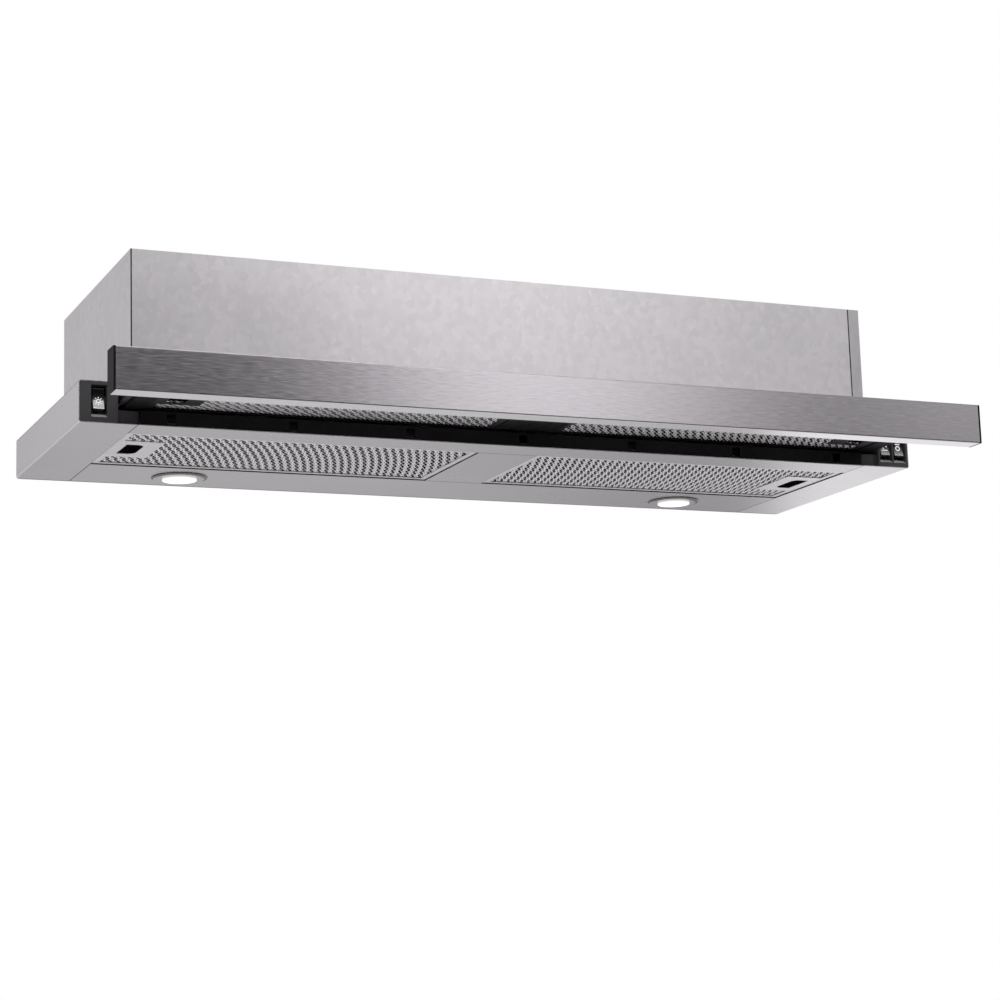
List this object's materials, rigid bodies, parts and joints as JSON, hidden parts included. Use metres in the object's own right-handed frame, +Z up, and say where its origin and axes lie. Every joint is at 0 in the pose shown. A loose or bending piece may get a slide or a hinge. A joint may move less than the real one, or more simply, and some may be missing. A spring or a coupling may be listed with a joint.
{
  "type": "pull-out range hood",
  "caption": "Pull-out range hood for a wide wall cabinet, with a sliding visor behind a steel fascia, grease filters, lamps, rocker keys, a blower and a round duct collar.",
  "frame": {"origin": "on the duct collar's axis, at the shoulder where the duct's end comes to rest", "axes": "+X runs along the hood to the right seen from the front, +Y to the back, +Z up along the duct"},
  "size_m": [0.898, 0.418, 0.2035],
  "materials": {
    "steel_body": "galvanised sheet, soft spangle",
    "steel_bright": "brushed stainless sheet",
    "steel_fascia": "brushed stainless, grain along the length",
    "black_plastic": "moulded, fine texture",
    "pod_plastic": "moulded, satin",
    "key_plastic": "silver lacquer",
    "gloss_dark": "dark, glossy",
    "lens": "frosted",
    "board": "white solder mask",
    "collar_plastic": "moulded",
    "filter_alu": "rolled, bright",
    "mesh_alu": "expanded metal",
    "zinc": "zinc plated",
    "motor_paint": "grey enamel",
    "wheel_plastic": "moulded",
    "cap_white": "white"
  },
  "bodies": {
    "casing": {"side_panel_left": "steel_body", "side_panel_right": "steel_body", "front_cover": "steel_body", "top_panel": "steel_body", "back_panel": "steel_body", "end_housing_left": "steel_bright", "end_housing_right": "steel_bright", "front_strip": "steel_bright", "centre_plate": "steel_bright", "rear_panel": "steel_bright", "front_sill": "black_plastic", "switch_pod_left": "pod_plastic", "switch_pod_right": "pod_plastic", "lamp_ring_left": "steel_bright", "lamp_ring_right": "steel_bright", "lamp_lens_left": "lens", "lamp_lens_right": "lens", "led_boards": "board", "duct_collar": "collar_plastic", "cable_gland": "black_plastic", "blower_scroll": "steel_body", "motor": "motor_paint", "motor_bracket": "zinc", "capacitor": "cap_white", "control_box": "black_plastic", "rail_outer_left": "zinc", "rail_outer_right": "zinc", "visor_sensor": "black_plastic", "casing_screws": "zinc"},
    "light_switch": {"light_key": "key_plastic"},
    "fan_switch": {"fan_key": "key_plastic"},
    "speed_switch": {"speed_key": "key_plastic"},
    "front_flap": {"damper_flap_front": "collar_plastic"},
    "rear_flap": {"damper_flap_rear": "collar_plastic"},
    "rotor": {"blower_wheel": "wheel_plastic", "motor_shaft": "zinc"},
    "left_filter": {"filter_frame_left": "filter_alu", "filter_mesh_left": "mesh_alu", "filter_core_left": "filter_alu"},
    "right_filter": {"filter_frame_right": "filter_alu", "filter_mesh_right": "mesh_alu", "filter_core_right": "filter_alu"},
    "left_latch": {"filter_latch_left": "black_plastic"},
    "right_latch": {"filter_latch_right": "black_plastic"},
    "visor": {"rail_inner_left": "zinc", "rail_inner_right": "zinc", "visor_frame": "black_plastic", "visor_centre_bar": "gloss_dark", "visor_top_plate": "steel_body", "visor_filter_frame_left": "filter_alu", "visor_filter_frame_right": "filter_alu", "visor_filter_mesh_left": "mesh_alu", "visor_filter_mesh_right": "mesh_alu", "visor_filter_cores": "filter_alu", "fascia_panel": "steel_fascia", "fascia_cap_left": "black_plastic", "fascia_cap_right": "black_plastic", "fascia_screws": "zinc"},
    "visor_left_latch": {"visor_latch_left": "black_plastic"},
    "visor_right_latch": {"visor_latch_right": "black_plastic"}
  },
  "joints": [
    {"name": "visor_slide", "type": "slide", "parent": "casing", "child": "visor", "axis": [0, -1, 0], "range_m": [-0.112, 0.05]},
    {"name": "left_filter_swing", "type": "hinge", "parent": "casing", "child": "left_filter", "pos_m": [-0.0329, -0.0505, -0.1719], "axis": [0, -1, 0], "range_deg": [0, 70]},
    {"name": "right_filter_swing", "type": "hinge", "parent": "casing", "child": "right_filter", "pos_m": [0.0329, -0.0505, -0.1719], "axis": [0, 1, 0], "range_deg": [0, 70]},
    {"name": "left_latch_slide", "type": "slide", "parent": "left_filter", "child": "left_latch", "axis": [1, 0, 0], "range_m": [0, 0.0045], "stiffness_N_per_m": 500, "springref_m": -0.004},
    {"name": "right_latch_slide", "type": "slide", "parent": "right_filter", "child": "right_latch", "axis": [-1, 0, 0], "range_m": [0, 0.0045], "stiffness_N_per_m": 500, "springref_m": -0.004},
    {"name": "visor_left_latch_slide", "type": "slide", "parent": "visor", "child": "visor_left_latch", "axis": [1, 0, 0], "range_m": [0, 0.0045], "stiffness_N_per_m": 500, "springref_m": -0.004},
    {"name": "visor_right_latch_slide", "type": "slide", "parent": "visor", "child": "visor_right_latch", "axis": [-1, 0, 0], "range_m": [0, 0.0045], "stiffness_N_per_m": 500, "springref_m": -0.004},
    {"name": "light_key_rock", "type": "hinge", "parent": "casing", "child": "light_switch", "pos_m": [-0.42895, -0.156, -0.1505], "axis": [1, 0, 0], "range_deg": [0, 16]},
    {"name": "fan_key_rock", "type": "hinge", "parent": "casing", "child": "fan_switch", "pos_m": [0.42065, -0.156, -0.1505], "axis": [1, 0, 0], "range_deg": [0, 16]},
    {"name": "speed_key_rock", "type": "hinge", "parent": "casing", "child": "speed_switch", "pos_m": [0.43725, -0.156, -0.1505], "axis": [1, 0, 0], "range_deg": [0, 16]},
    {"name": "rotor_spin", "type": "hinge", "parent": "casing", "child": "rotor", "pos_m": [0, -0.015, -0.07295], "axis": [1, 0, 0], "continuous": true},
    {"name": "front_flap_hinge", "type": "hinge", "parent": "casing", "child": "front_flap", "pos_m": [0, -0.0028, 0.0019], "axis": [-1, 0, 0], "range_deg": [0, 75]},
    {"name": "rear_flap_hinge", "type": "hinge", "parent": "casing", "child": "rear_flap", "pos_m": [0, 0.0028, 0.0019], "axis": [1, 0, 0], "range_deg": [0, 75]}
  ]
}
